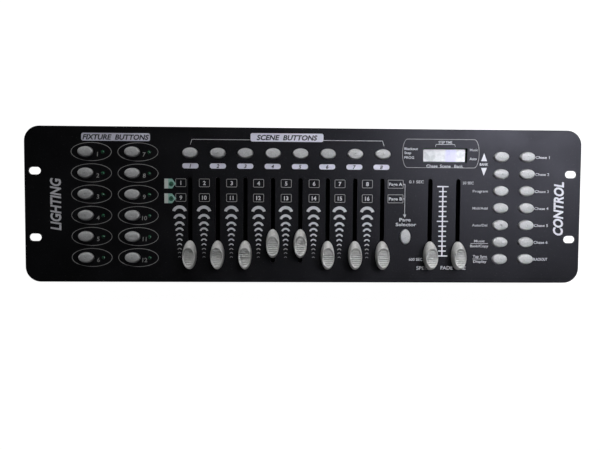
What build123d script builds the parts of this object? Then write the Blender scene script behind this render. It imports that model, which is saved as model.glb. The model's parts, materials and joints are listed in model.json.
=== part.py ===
"""Lighting control desk: a flat console with 35 push buttons, 10 slide faders, a small display and rack ears.

Frame: +X to the operator's right, +Y away from the operator, +Z up. The origin is on the table surface, under the
centre of the front panel. All sizes are in millimetres. The desk comes apart into a steel front panel that carries
the control board, a folded steel tray that carries the rear sockets, and the controls that move in between.
"""

import math
import os

from build123d import *

# ---- Driving dimensions -------------------------------------------------------------------------------------------

# Heights above the table.
foot_height = 6.0
tray_height = 53.0
panel_thickness = 2.0
tray_bottom = foot_height
panel_bottom = tray_bottom + tray_height
panel_top = panel_bottom + panel_thickness

# Front panel: a 19 inch rack panel, three units high.
panel_width = 482.6
panel_depth = 134.0
panel_corner = 13.0
panel_edge_break = 0.5
rack_slot_spacing_x = 465.1
rack_slot_spacing_y = 57.15
rack_slot_length = 10.6
rack_slot_width = 6.4

# Tray of folded sheet steel.
sheet = 1.2
tray_width = 440.0
tray_depth = 116.0
bend_radius = 2.0
floor_bend_radius = 1.8
tray_floor = tray_bottom + sheet
wall_outside = tray_depth / 2
wall_inside = wall_outside - sheet

# Button grids, on the panel's plane.
scanner_column_x = -189.3
scanner_column_pitch = 39.7
scanner_row_pitch = 18.2
scanner_rows = 6
scanner_centre_y = -0.3
channel_pitch = 23.8
channel_count = 8
channel_centre_x = -16.8
scene_row_y = 44.8
function_centre_x = 181.9
function_column_pitch = 22.9
function_row_pitch = 14.9
function_rows = 7
function_centre_y = -1.3
page_button_place = (87.0, -26.8)

# Faders: 60 mm of travel.
fader_travel = 60.0
fader_slot_length = 74.0
fader_slot_width = 4.0
fader_centre_y = -13.0
master_centre_x = 120.8
master_pitch = 24.6
raised_by = 10.0  # the rest place of channel faders 4 and 5, above the lower end of their travel
raised_channels = (4, 5)

# Indicators and display.
led_offset = (14.7, -0.3)
led_diameter = 3.0
led_rise = 1.1
led_length = 5.3
led_hole = 3.2
led_collar = (3.8, 1.0)
pin_pitch = 2.54
pin_width = 0.5
page_led_x = -116.3
page_led_rows_y = (18.0, 6.2)
display_centre = (121.1, 44.5)
display_cutout = (39.0, 12.6)
display_size = (37.4, 11.2)
display_recess = 3.6
display_height = 7.0
film_size = (36.8, 10.6)
film_thickness = 0.15
display_row_spacing = 7.62

# Control board, hung from the panel on ten pressed standoffs.
standoff_length = 10.0
standoff_diameter = 6.0
standoff_places = [(x, y) for x in (-206.0, -122.0, 85.0, 150.0, 207.0) for y in (42.0, -42.0)]
board_thickness = 1.6
control_board_size = (424.0, 107.0)
board_top = panel_bottom - standoff_length
board_bottom = board_top - board_thickness
processor_size = (52.0, 14.0)
driver_size = (10.0, 7.0)
chip_height = 4.0

# Socket board, on four studs pressed into the tray floor.
socket_board_size = (300.0, 37.0)
socket_board_centre = (-10.0, 37.5)
stud_length = 5.0
stud_y = 25.0
stud_places = [(x, stud_y) for x in (-150.0, -58.0, 36.0, 130.0)]
socket_board_bottom = tray_floor + stud_length
socket_board_top = socket_board_bottom + board_thickness

# Ribbon cable between the boards.
ribbon_x = -30.0
ribbon_lower_y = 30.0
ribbon_upper_y = 4.0
plug_size = (28.0, 6.0, 6.0)
ribbon_size = (25.4, 0.9)

# Screws: one size, M3 x 6 pan head, everywhere.
screw_diameter = 2.9
screw_length = 6.0
screw_head_diameter = 5.6
screw_head_height = 2.0
screw_head_round = 0.9
cross_recess = (3.2, 0.7)
recess_depth = 1.1
tapped_hole = 3.0
clearance_hole = 3.4
tapped_depth = 8.0

# Tabs welded under the panel, which the tray's walls are screwed to.
tab_width = 18.0
tab_leg = 6.0
tab_drop = 12.0
tab_screw_drop = 7.0
tab_gap = 0.1
long_wall_tabs_x = (-118.0, -17.0, 84.0)
short_wall_tabs_y = (-25.0, 25.0)
tab_screw_z = panel_bottom - tab_screw_drop

# Push buttons.
button_size = (12.8, 8.6)
button_rise = 3.0
button_skirt_rise = 1.4
button_gap = 0.5
button_flange = 1.3
button_flange_thickness = 1.2
button_travel = 0.5
button_boss_diameter = 5.6
switch_size = 6.0
switch_height = 3.5
plunger_diameter = 3.3
plunger_hole = 3.6
plunger_socket = 3.4
plunger_length = 5.6
plunger_sunk = 1.8  # how far the plunger reaches into the switch
plunger_well = 2.6
boss_gap = 1.2

# Fader housings and knobs.
housing_size = (9.0, 75.0, 6.5)
housing_wall = 1.0
lever_size = (1.2, 5.0)
carriage_size = (6.6, 9.0, 3.9)
carriage_gap = 0.3
lever_slot_gap = 0.4  # beside the lever, in the housing's top
lever_end_gap = 1.0  # past the lever at either end of its travel
lever_top = panel_top + 7.5
knob_base = (11.5, 24.8)
knob_waist = (11.3, 23.8)
knob_rim = (10.6, 18.8)
knob_rim_shift = -0.6  # the rim sits nearer the operator than the foot, so the far end slopes more
knob_gap = 1.0
knob_height = 11.0
knob_rim_width = 0.9
knob_dish_depth = 1.9
knob_rim_round = 0.4
knob_socket_clearance = 0.05

# Rear sockets, along the tray's rear wall.
dmx_out_x = 60.0
dmx_in_x = 10.0
midi_x = 120.0
audio_x = -110.0
dc_x = -145.0
switch_x = -185.0
socket_centre_z = 29.0
midi_z = 24.0
audio_z = 21.5
dc_z = 20.5
opening_gap = 0.2  # between a socket and the edge of its opening, all round

# Three-pole sockets.
flange_size = (26.0, 31.0)
flange_thickness = 1.8
flange_screws = ((-9.5, 12.0), (9.5, -12.0))
barrel_diameter = 23.6
barrel_length = 18.0
cup_depth = 12.0
contact_circle = 9.0
ring_gap = (19.2, 15.6)
contact_hole = 2.8
cup_diameter = 16.4
contact_pin = 2.4
foot_block = (20.0, 12.0)

# Five-pole socket.
midi_body = (20.0, 14.0, 10.0)  # width, depth, and height above its axis
midi_boss = 15.8
midi_ring = (13.8, 11.8)
midi_pole_circle = 7.5
midi_pole_hole = 1.7
midi_depth = 8.0
midi_proud = 0.3

# Phono socket.
audio_body = (11.0, 12.0, 6.0)
audio_collar = (9.8, 2.2)
audio_barrel = (8.3, 9.6)
audio_bore = (3.3, 9.0)

# Power jack.
dc_body = (9.4, 13.5, 5.5)
dc_boss = 8.0
dc_bore = (6.2, 9.5)
dc_pin = 2.0

# Power switch.
rocker_tilt = 9.0
rocker_width = 10.2
rocker_flush_half = 8.6
pivot_depth = 7.5
pivot_diameter = 2.0
switch_bezel = (21.0, 15.0, 2.0)
switch_opening = (17.6, 10.6)
switch_body = (19.0, 12.8, 15.0)
pivot_clearance = 0.05
pivot_pin_length = 0.8
switch_cavity_depth = 12.5
switch_face_y = wall_outside + switch_bezel[2]
pivot_y = switch_face_y - pivot_depth

# Feet.
foot_diameter = 20.0
foot_ground_diameter = 17.0
foot_counterbore = 8.0
foot_seat = 3.0
foot_places = [(x, y) for x in (-200.0, 200.0) for y in (-42.0, 42.0)]


# ---- Places worked out from the grids -----------------------------------------------------------------------------


def centred(count, pitch):
    """The places of a row of count items about zero, lowest first."""
    return [(i - (count - 1) / 2) * pitch for i in range(count)]


channel_x = [channel_centre_x + x for x in centred(channel_count, channel_pitch)]
scanner_y = [scanner_centre_y - y for y in centred(scanner_rows, scanner_row_pitch)]
function_y = [function_centre_y - y for y in centred(function_rows, function_row_pitch)]
function_x = [function_centre_x + x for x in centred(2, function_column_pitch)]
master_x = [master_centre_x + x for x in centred(2, master_pitch)]

scanner_places = [(scanner_column_x + scanner_column_pitch * c, y) for c in (0, 1) for y in scanner_y]
scene_places = [(x, scene_row_y) for x in channel_x]
left_function_names = ["bank_up", "bank_down", "program", "midi", "auto", "music", "tap"]
right_function_names = [f"chase_{n}" for n in range(1, 7)] + ["blackout"]

button_places = {f"scanner_button_{i + 1}": place for i, place in enumerate(scanner_places)}
button_places |= {f"scene_button_{i + 1}": place for i, place in enumerate(scene_places)}
button_places |= {f"{name}_button": (function_x[0], y) for name, y in zip(left_function_names, function_y)}
button_places |= {f"{name}_button": (function_x[1], y) for name, y in zip(right_function_names, function_y)}

led_places = [(x + led_offset[0], y + led_offset[1]) for x, y in scanner_places]
led_places += [(page_led_x, y) for y in page_led_rows_y]

fader_lowest_y = fader_centre_y - fader_travel / 2
fader_places = {
    f"channel_fader_{i + 1}": (x, fader_lowest_y + (raised_by if i + 1 in raised_channels else 0.0))
    for i, x in enumerate(channel_x)
}
fader_places |= {"speed_fader": (master_x[0], fader_lowest_y), "fade_time_fader": (master_x[1], fader_lowest_y)}
fader_slots = [(x, fader_centre_y) for x in channel_x + master_x]


def wall_plane(y):
    """The upright plane at y, drawn on in (x, z). Extruding a positive amount goes towards the operator."""
    return Plane.XZ.offset(-y)


def write(name, *pieces):
    """Writes one node: its pieces stay separate solids."""
    group = Compound(label=name, children=list(pieces))
    export_step(group, f"parts/{name}.step")


os.makedirs("parts", exist_ok=True)

# ---- Front panel --------------------------------------------------------------------------------------------------

# One L-shaped tab, with its outer face on y = 0 and its top on z = 0.
with BuildPart() as panel_tab:
    with BuildSketch(Plane.YZ.offset(-tab_width / 2)):
        with BuildLine():
            Polyline(
                (0, 0),
                (0, -tab_drop),
                (-sheet, -tab_drop),
                (-sheet, -sheet),
                (-tab_leg, -sheet),
                (-tab_leg, 0),
                close=True,
            )
        make_face()
    extrude(amount=tab_width)
    with BuildSketch(Plane.XZ):
        with Locations((0, -tab_screw_drop)):
            Circle(tapped_hole / 2)
    extrude(amount=sheet, mode=Mode.SUBTRACT)

tab_y = wall_inside - tab_gap
tab_x = tray_width / 2 - sheet - tab_gap
tab_spots = [Location((x, tab_y, panel_bottom)) for x in long_wall_tabs_x]
tab_spots += [Location((x, -tab_y, panel_bottom), (0, 0, 180)) for x in long_wall_tabs_x]
tab_spots += [Location((tab_x, y, panel_bottom), (0, 0, -90)) for y in short_wall_tabs_y]
tab_spots += [Location((-tab_x, y, panel_bottom), (0, 0, 90)) for y in short_wall_tabs_y]

with BuildPart() as front_panel:
    with BuildSketch(Plane.XY.offset(panel_bottom)):
        RectangleRounded(panel_width, panel_depth, panel_corner)
    extrude(amount=panel_thickness)
    fillet(front_panel.faces().sort_by(Axis.Z)[-1].edges(), panel_edge_break)
    with BuildSketch(Plane.XY.offset(panel_top)):
        with GridLocations(rack_slot_spacing_x, rack_slot_spacing_y, 2, 2):
            SlotOverall(rack_slot_length, rack_slot_width)
        with Locations(*button_places.values()):
            Ellipse(button_size[0] / 2 + button_gap, button_size[1] / 2 + button_gap)
        with Locations(page_button_place):
            Ellipse(button_size[1] / 2 + button_gap, button_size[0] / 2 + button_gap)
        with Locations(*fader_slots):
            SlotOverall(fader_slot_length, fader_slot_width, rotation=90)
        with Locations(*led_places):
            Circle(led_hole / 2)
        with Locations(display_centre):
            RectangleRounded(*display_cutout, 0.4)
    extrude(amount=-panel_thickness, mode=Mode.SUBTRACT)
    with BuildSketch(Plane.XY.offset(panel_bottom)):
        with Locations(*standoff_places):
            Circle(standoff_diameter / 2)
    extrude(amount=-standoff_length)
    with BuildSketch(Plane.XY.offset(board_top)):
        with Locations(*standoff_places):
            Circle(tapped_hole / 2)
    extrude(amount=tapped_depth, mode=Mode.SUBTRACT)
    with Locations(*tab_spots):
        add(panel_tab.part)
write("front_panel", front_panel.part)

# ---- Base tray ----------------------------------------------------------------------------------------------------

with BuildPart() as base_tray:
    with BuildSketch(Plane.XY.offset(tray_bottom)):
        RectangleRounded(tray_width, tray_depth, bend_radius)
    extrude(amount=tray_height)
    fillet(base_tray.faces().sort_by(Axis.Z)[0].edges(), floor_bend_radius)
    offset(amount=-sheet, openings=base_tray.faces().sort_by(Axis.Z)[-1])
    # Studs for the socket board.
    with BuildSketch(Plane.XY.offset(tray_floor)):
        with Locations(*stud_places):
            Circle(standoff_diameter / 2)
            Circle(tapped_hole / 2, mode=Mode.SUBTRACT)
    extrude(amount=stud_length)
    # Screw holes in the floor and the four walls.
    with BuildSketch(Plane.XY.offset(tray_bottom)):
        with Locations(*foot_places):
            Circle(tapped_hole / 2)
    extrude(amount=sheet, mode=Mode.SUBTRACT)
    with BuildSketch(Plane.XZ):
        with Locations(*[(x, tab_screw_z) for x in long_wall_tabs_x]):
            Circle(clearance_hole / 2)
    extrude(amount=tray_depth / 2, both=True, mode=Mode.SUBTRACT)
    with BuildSketch(Plane.YZ):
        with Locations(*[(y, tab_screw_z) for y in short_wall_tabs_y]):
            Circle(clearance_hole / 2)
    extrude(amount=tray_width / 2, both=True, mode=Mode.SUBTRACT)
    # Socket and switch openings in the rear wall.
    with BuildSketch(wall_plane(wall_outside)):
        with Locations((dmx_in_x, socket_centre_z), (dmx_out_x, socket_centre_z)):
            Circle(barrel_diameter / 2 + opening_gap)
            with Locations(*flange_screws):
                Circle(tapped_hole / 2)
        for x, z, diameter in (
            (midi_x, midi_z, midi_boss),
            (audio_x, audio_z, audio_collar[0]),
            (dc_x, dc_z, dc_boss),
        ):
            with Locations((x, z)):
                Circle(diameter / 2 + opening_gap)
        with Locations((switch_x, socket_centre_z)):
            Rectangle(switch_body[0] + opening_gap, switch_body[1] + opening_gap)
    extrude(amount=sheet, mode=Mode.SUBTRACT)
write("base_tray", base_tray.part)

# ---- Circuit boards -----------------------------------------------------------------------------------------------

with BuildPart() as control_board:
    with BuildSketch(Plane.XY.offset(board_bottom)):
        Rectangle(*control_board_size)
        with Locations(*standoff_places):
            Circle(clearance_hole / 2, mode=Mode.SUBTRACT)
    extrude(amount=board_thickness)

with BuildPart() as socket_board:
    with BuildSketch(Plane.XY.offset(socket_board_bottom)):
        with Locations(socket_board_centre):
            Rectangle(*socket_board_size)
        with Locations(*stud_places):
            Circle(clearance_hole / 2, mode=Mode.SUBTRACT)
    extrude(amount=board_thickness)

# The processor and the line driver, soldered under the control board.
with BuildPart() as chips:
    with BuildSketch(Plane.XY.offset(board_bottom)):
        with Locations((30.0, -20.0)):
            Rectangle(*processor_size)
        with Locations((-60.0, -20.0)):
            Rectangle(*driver_size)
    extrude(amount=-chip_height)
write("circuit_boards", control_board.part, socket_board.part, *chips.part.solids())

# ---- Ribbon cable --------------------------------------------------------------------------------------------------

with BuildPart() as ribbon:
    with BuildLine():
        ribbon_start = (ribbon_x, ribbon_lower_y, socket_board_top + plug_size[2])
        ribbon_end = (ribbon_x, ribbon_upper_y, board_bottom - plug_size[2])
        ribbon_path = Spline(ribbon_start, ribbon_end, tangents=[(0, 0, 1), (0, 0, 1)])
    with BuildSketch(Plane(ribbon_start, x_dir=(1, 0, 0), z_dir=(0, 0, 1))):
        Rectangle(*ribbon_size)
    sweep()

with BuildPart() as ribbon_plugs:
    with BuildSketch(Plane.XY.offset(socket_board_top)):
        with Locations((ribbon_x, ribbon_lower_y)):
            Rectangle(plug_size[0], plug_size[1])
    extrude(amount=plug_size[2])
    with BuildSketch(Plane.XY.offset(board_bottom)):
        with Locations((ribbon_x, ribbon_upper_y)):
            Rectangle(plug_size[0], plug_size[1])
    extrude(amount=-plug_size[2])
write("ribbon_cable", ribbon.part, *ribbon_plugs.part.solids())

# ---- Faders -------------------------------------------------------------------------------------------------------

# One slide potentiometer's housing, on the board's top face, centred on x = y = 0.
with BuildPart() as fader_housing:
    with BuildSketch(Plane.XY.offset(board_top)):
        Rectangle(housing_size[0], housing_size[1])
    extrude(amount=housing_size[2])
    with BuildSketch(Plane.XY.offset(board_top + housing_wall)):
        Rectangle(housing_size[0] - 2 * housing_wall, housing_size[1] - 2 * housing_wall)
    extrude(amount=housing_size[2] - 2 * housing_wall, mode=Mode.SUBTRACT)
    with BuildSketch(Plane.XY.offset(board_top + housing_size[2])):
        Rectangle(lever_size[0] + 2 * lever_slot_gap, fader_travel + lever_size[1] + 2 * lever_end_gap)
    extrude(amount=-housing_wall, mode=Mode.SUBTRACT)
write("fader_housings", *[fader_housing.part.moved(Location((x, y, 0))) for x, y in fader_slots])

# The wiper carriage and its lever, which move with the knob.
carriage_bottom = board_top + housing_wall + carriage_gap
with BuildPart() as fader_lever:
    with BuildSketch(Plane.XY.offset(carriage_bottom)):
        Rectangle(carriage_size[0], carriage_size[1])
    extrude(amount=carriage_size[2])
    with BuildSketch(Plane.XY.offset(carriage_bottom)):
        Rectangle(*lever_size)
    extrude(amount=lever_top - carriage_bottom)

knob_bottom = panel_top + knob_gap
knob_top = knob_bottom + knob_height
dish_size = (knob_rim[0] - 2 * knob_rim_width, knob_rim[1] - 2 * knob_rim_width)
dish_radius = ((dish_size[1] / 2) ** 2 + knob_dish_depth**2) / (2 * knob_dish_depth)

# The finger dish: an arc sunk into the knob's top, inside the elliptical rim.
with BuildPart() as finger_dish:
    with BuildSketch(Plane.XY.offset(knob_top - 2 * knob_dish_depth)):
        with Locations((0, knob_rim_shift)):
            Ellipse(dish_size[0] / 2, dish_size[1] / 2)
    extrude(amount=4 * knob_dish_depth)
    with BuildSketch(Plane.YZ):
        with Locations((knob_rim_shift, knob_top + dish_radius - knob_dish_depth)):
            Circle(dish_radius)
    extrude(amount=knob_base[0], both=True, mode=Mode.INTERSECT)

with BuildPart() as fader_knob:
    for size, height in ((knob_base, 0.0), (knob_waist, 0.3), (knob_rim, 1.0)):
        with BuildSketch(Plane.XY.offset(knob_bottom + height * knob_height)):
            with Locations((0, height * knob_rim_shift)):
                Ellipse(size[0] / 2, size[1] / 2)
    loft()
    fillet(fader_knob.faces().sort_by(Axis.Z)[-1].edges(), knob_rim_round)
    add(finger_dish.part, mode=Mode.SUBTRACT)
    with BuildSketch(Plane.XY.offset(knob_bottom)):
        Rectangle(lever_size[0] + 2 * knob_socket_clearance, lever_size[1] + 2 * knob_socket_clearance)
    extrude(amount=lever_top - knob_bottom + knob_socket_clearance, mode=Mode.SUBTRACT)

for name, (x, y) in fader_places.items():
    write(name, fader_knob.part.moved(Location((x, y, 0))), fader_lever.part.moved(Location((x, y, 0))))

# ---- Push buttons -------------------------------------------------------------------------------------------------

flange_top = panel_bottom
flange_bottom = flange_top - button_flange_thickness
switch_top = board_top + switch_height
plunger_bottom = switch_top - plunger_sunk
plunger_top = plunger_bottom + plunger_length
boss_bottom = switch_top + boss_gap

# One button cap, long side along X: a domed oval, a flange under the panel and a boss for the switch's plunger.
with BuildPart() as button_cap:
    with BuildSketch(Plane.XY.offset(flange_bottom)):
        Ellipse(button_size[0] / 2 + button_flange, button_size[1] / 2 + button_flange)
    extrude(amount=button_flange_thickness)
    with BuildSketch(Plane.XY.offset(flange_bottom)):
        Ellipse(button_size[0] / 2, button_size[1] / 2)
    extrude(amount=panel_top + button_rise - flange_bottom)
    fillet(button_cap.faces().sort_by(Axis.Z)[-1].edges(), button_rise - button_skirt_rise)
    with BuildSketch(Plane.XY.offset(flange_bottom)):
        Circle(button_boss_diameter / 2)
    extrude(amount=boss_bottom - flange_bottom)
    with BuildSketch(Plane.XY.offset(boss_bottom)):
        Circle(plunger_socket / 2)
    extrude(amount=plunger_top - boss_bottom, mode=Mode.SUBTRACT)

# The switch's plunger, which moves with the cap.
with BuildPart() as plunger:
    with BuildSketch(Plane.XY.offset(plunger_bottom)):
        Circle(plunger_diameter / 2)
    extrude(amount=plunger_length)

# The switch body, soldered to the board.
with BuildPart() as tact_switch:
    with BuildSketch(Plane.XY.offset(board_top)):
        Rectangle(switch_size, switch_size)
    extrude(amount=switch_height)
    with BuildSketch(Plane.XY.offset(switch_top)):
        Circle(plunger_hole / 2)
    extrude(amount=-plunger_well, mode=Mode.SUBTRACT)

for name, (x, y) in button_places.items():
    write(name, button_cap.part.moved(Location((x, y, 0))), plunger.part.moved(Location((x, y, 0))))
page_spot = Location((*page_button_place, 0), (0, 0, 90))
write("page_selector_button", button_cap.part.moved(page_spot), plunger.part.moved(page_spot))

switch_spots = [Location((x, y, 0)) for x, y in button_places.values()] + [page_spot]
write("tact_switches", *[tact_switch.part.moved(spot) for spot in switch_spots])

# ---- Indicators and display ---------------------------------------------------------------------------------------

led_radius = led_diameter / 2
led_tip = panel_top + led_rise
led_collar_bottom = led_tip - led_length

with BuildPart() as led:
    with BuildSketch(Plane.XY.offset(led_collar_bottom)):
        Circle(led_collar[0] / 2)
    extrude(amount=led_collar[1])
    with BuildSketch(Plane.XY.offset(led_collar_bottom)):
        Circle(led_radius)
    extrude(amount=led_tip - led_radius - led_collar_bottom)
    with Locations((0, 0, led_tip - led_radius)):
        Sphere(led_radius)
    with BuildSketch(Plane.XY.offset(board_top)):
        with GridLocations(pin_pitch, pin_pitch, 2, 1):
            Rectangle(pin_width, pin_width)
    extrude(amount=led_collar_bottom - board_top)
write("indicator_leds", *[led.part.moved(Location((x, y, 0))) for x, y in led_places])

display_top = panel_top - display_recess
with BuildPart() as display_module:
    with BuildSketch(Plane.XY.offset(display_top)):
        with Locations(display_centre):
            RectangleRounded(*display_size, 0.4)
    extrude(amount=-display_height)
    with BuildSketch(Plane.XY.offset(board_top)):
        with Locations(display_centre):
            with GridLocations(2 * pin_pitch, display_row_spacing, 6, 2):
                Circle(pin_width / 2)
    extrude(amount=display_top - display_height - board_top)
write("display_module", display_module.part)

with BuildPart() as display_film:
    with BuildSketch(Plane.XY.offset(display_top)):
        with Locations(display_centre):
            RectangleRounded(*film_size, 0.8)
    extrude(amount=film_thickness)
write("display_film", display_film.part)

# ---- Rear sockets -------------------------------------------------------------------------------------------------

flange_face_y = wall_outside + flange_thickness


def three_contacts():
    """The places of a three-pole connector's contacts: two beside each other, one below."""
    return [(contact_circle / 2 * math.cos(a), contact_circle / 2 * math.sin(a)) for a in (0, math.pi, -math.pi / 2)]


def socket_shell():
    """The flange, the barrel through the wall and the foot on the board, centred on x = 0."""
    with BuildPart() as shell:
        with BuildSketch(wall_plane(flange_face_y)):
            with Locations((0, socket_centre_z)):
                RectangleRounded(*flange_size, 3.0)
                with Locations(*flange_screws):
                    Circle(clearance_hole / 2, mode=Mode.SUBTRACT)
        extrude(amount=flange_thickness)
        with BuildSketch(wall_plane(flange_face_y)):
            with Locations((0, socket_centre_z)):
                Circle(barrel_diameter / 2)
        extrude(amount=flange_thickness + barrel_length)
        with BuildSketch(Plane.XY.offset(socket_board_top)):
            with Locations((0, wall_outside - barrel_length + foot_block[1] / 2)):
                Rectangle(*foot_block)
        extrude(amount=socket_centre_z - socket_board_top)
    return shell.part


def block_on_board(x, axis_z, body):
    """A moulded block from the socket board up past the socket's axis, close behind the wall."""
    top_z = axis_z + body[2]
    with BuildPart() as block:
        with BuildSketch(wall_plane(wall_inside)):
            with Locations((x, (top_z + socket_board_top) / 2)):
                Rectangle(body[0], top_z - socket_board_top)
        extrude(amount=body[1])
    return block.part


def round_boss(x, axis_z, diameter, length):
    """A round boss from the wall's inner face outwards."""
    with BuildPart() as boss:
        with BuildSketch(wall_plane(wall_inside)):
            with Locations((x, axis_z)):
                Circle(diameter / 2)
        extrude(amount=-length)
    return boss.part


# Socket for a plug with pins: a solid core with three holes, inside a ring-shaped gap.
with BuildPart() as output_socket:
    add(socket_shell())
    with BuildSketch(wall_plane(flange_face_y)):
        with Locations((0, socket_centre_z)):
            Circle(ring_gap[0] / 2)
            Circle(ring_gap[1] / 2, mode=Mode.SUBTRACT)
            with Locations(*three_contacts()):
                Circle(contact_hole / 2)
    extrude(amount=cup_depth, mode=Mode.SUBTRACT)

# Socket with three pins of its own, in an open cup.
with BuildPart() as input_socket:
    add(socket_shell())
    with BuildSketch(wall_plane(flange_face_y)):
        with Locations((0, socket_centre_z)):
            Circle(cup_diameter / 2)
            with Locations(*three_contacts()):
                Circle(contact_pin / 2, mode=Mode.SUBTRACT)
    extrude(amount=cup_depth, mode=Mode.SUBTRACT)

write(
    "dmx_sockets",
    output_socket.part.moved(Location((dmx_out_x, 0, 0))),
    input_socket.part.moved(Location((dmx_in_x, 0, 0))),
)

# Five-pole round socket.
with BuildPart() as midi_socket:
    add(block_on_board(midi_x, midi_z, midi_body))
    add(round_boss(midi_x, midi_z, midi_boss, sheet + midi_proud))
    with BuildSketch(wall_plane(wall_outside + midi_proud)):
        with Locations((midi_x, midi_z)):
            with PolarLocations(midi_pole_circle / 2, 5, start_angle=0, angular_range=180, endpoint=True):
                Circle(midi_pole_hole / 2)
            Circle(midi_ring[0] / 2)
            Circle(midi_ring[1] / 2, mode=Mode.SUBTRACT)
    extrude(amount=midi_depth, mode=Mode.SUBTRACT)

# Phono socket, with a plated barrel that stands out of the wall.
with BuildPart() as audio_socket:
    add(block_on_board(audio_x, audio_z, audio_body))
    add(round_boss(audio_x, audio_z, *audio_collar))
    add(round_boss(audio_x, audio_z, *audio_barrel))
    with BuildSketch(wall_plane(wall_inside + audio_barrel[1])):
        with Locations((audio_x, audio_z)):
            Circle(audio_bore[0] / 2)
    extrude(amount=audio_bore[1], mode=Mode.SUBTRACT)

# Coaxial power jack, with its centre pin.
with BuildPart() as dc_jack:
    add(block_on_board(dc_x, dc_z, dc_body))
    add(round_boss(dc_x, dc_z, dc_boss, sheet))
    with BuildSketch(wall_plane(wall_outside)):
        with Locations((dc_x, dc_z)):
            Circle(dc_bore[0] / 2)
            Circle(dc_pin / 2, mode=Mode.SUBTRACT)
    extrude(amount=dc_bore[1], mode=Mode.SUBTRACT)
write("signal_jacks", midi_socket.part, audio_socket.part, dc_jack.part)

# ---- Power switch -------------------------------------------------------------------------------------------------

with BuildPart() as power_switch_housing:
    with BuildSketch(wall_plane(switch_face_y)):
        with Locations((switch_x, socket_centre_z)):
            RectangleRounded(switch_bezel[0], switch_bezel[1], 1.2)
    extrude(amount=switch_bezel[2])
    with BuildSketch(wall_plane(wall_outside)):
        with Locations((switch_x, socket_centre_z)):
            Rectangle(switch_body[0], switch_body[1])
    extrude(amount=switch_body[2])
    with BuildSketch(wall_plane(switch_face_y)):
        with Locations((switch_x, socket_centre_z)):
            Rectangle(*switch_opening)
    extrude(amount=switch_cavity_depth, mode=Mode.SUBTRACT)
    with BuildSketch(Plane.XY.offset(socket_centre_z)):
        with Locations((switch_x, pivot_y)):
            Circle(pivot_diameter / 2 + pivot_clearance)
    extrude(amount=rocker_width / 2 + pivot_pin_length + opening_gap, both=True, mode=Mode.SUBTRACT)
write("power_switch_housing", power_switch_housing.part)

# The rocker, about its pivot: its pressed half lies flush with the bezel.
tilt = math.radians(rocker_tilt)
corner_out = pivot_depth * math.cos(tilt) + rocker_flush_half * math.sin(tilt)
corner_along = rocker_flush_half * math.cos(tilt) - pivot_depth * math.sin(tilt)
valley_out = corner_out - corner_along * math.tan(tilt)

skirt_out = 3.5
keel = (2.2, -1.0)
keel_tip = -3.0
keel_side = corner_along - 0.4

with BuildPart() as rocker_blank:
    with BuildSketch():
        with BuildLine():
            Polyline(
                (0, valley_out),
                (corner_along, corner_out),
                (keel_side, skirt_out),
                keel,
                (0, keel_tip),
                (-keel[0], keel[1]),
                (-keel_side, skirt_out),
                (-corner_along, corner_out),
                close=True,
            )
        make_face()
    extrude(amount=rocker_width / 2, both=True)
    with BuildSketch():
        Circle(pivot_diameter / 2)
    extrude(amount=rocker_width / 2 + pivot_pin_length, both=True)
rocker_place = Location((switch_x, pivot_y, socket_centre_z), (0, 0, -rocker_tilt))
write("power_rocker", rocker_blank.part.moved(rocker_place))

# ---- Feet ---------------------------------------------------------------------------------------------------------

with BuildPart() as rubber_foot:
    with BuildSketch():
        Circle(foot_ground_diameter / 2)
    with BuildSketch(Plane.XY.offset(foot_height)):
        Circle(foot_diameter / 2)
    loft()
    with BuildSketch():
        Circle(foot_counterbore / 2)
    extrude(amount=foot_seat, mode=Mode.SUBTRACT)
    with BuildSketch(Plane.XY.offset(foot_seat)):
        Circle(clearance_hole / 2)
    extrude(amount=foot_height - foot_seat, mode=Mode.SUBTRACT)
write("rubber_feet", *[rubber_foot.part.moved(Location((x, y, 0))) for x, y in foot_places])

# ---- Fasteners ----------------------------------------------------------------------------------------------------

# One M3 x 6 pan-head screw, with its seat on z = 0, its head above and its shank below.
with BuildPart() as pan_screw:
    with BuildSketch():
        Circle(screw_head_diameter / 2)
    extrude(amount=screw_head_height)
    fillet(pan_screw.faces().sort_by(Axis.Z)[-1].edges(), screw_head_round)
    with BuildSketch():
        Circle(screw_diameter / 2)
    extrude(amount=-screw_length)
    with BuildSketch(Plane.XY.offset(screw_head_height)):
        Rectangle(*cross_recess)
        Rectangle(*reversed(cross_recess))
    extrude(amount=-recess_depth, mode=Mode.SUBTRACT)

screw_spots = [Location((x, y, board_bottom), (180, 0, 0)) for x, y in standoff_places]
screw_spots += [Location((x, y, socket_board_top)) for x, y in stud_places]
screw_spots += [Location((x, y, foot_seat), (180, 0, 0)) for x, y in foot_places]
screw_spots += [Location((x, wall_outside, tab_screw_z), (-90, 0, 0)) for x in long_wall_tabs_x]
screw_spots += [Location((x, -wall_outside, tab_screw_z), (90, 0, 0)) for x in long_wall_tabs_x]
screw_spots += [Location((tray_width / 2, y, tab_screw_z), (0, 90, 0)) for y in short_wall_tabs_y]
screw_spots += [Location((-tray_width / 2, y, tab_screw_z), (0, -90, 0)) for y in short_wall_tabs_y]
screw_spots += [
    Location((x + dx, wall_outside + flange_thickness, socket_centre_z + dz), (-90, 0, 0))
    for x in (dmx_in_x, dmx_out_x)
    for dx, dz in flange_screws
]
write("fasteners", *[pan_screw.part.moved(spot) for spot in screw_spots])
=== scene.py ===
import json
import math

import bmesh
import bpy
from mathutils import Matrix, Vector


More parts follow.
